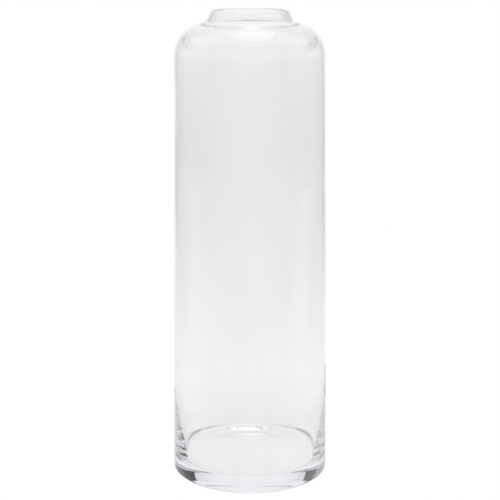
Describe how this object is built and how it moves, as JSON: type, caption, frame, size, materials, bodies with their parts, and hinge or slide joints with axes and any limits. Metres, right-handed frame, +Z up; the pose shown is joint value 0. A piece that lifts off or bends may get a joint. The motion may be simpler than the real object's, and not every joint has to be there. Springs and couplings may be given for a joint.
{
  "type": "glass cylinder vase",
  "caption": "Tall clear glass vase: straight cylinder with a heavy base, rounded shoulder and short narrow neck, for holding cut stems in water.",
  "frame": {"origin": "middle of the foot, in the plane the vase stands on", "axes": "+Z up along the vase's axis; X and Y are interchangeable because the vase is round"},
  "size_m": [0.15, 0.15, 0.45],
  "materials": {
    "clear_glass": "clear, smooth, fire-polished, near colourless with a faint cool tint where it is thick"
  },
  "bodies": {
    "root": {"glass_vessel": "clear_glass"}
  },
  "joints": []
}
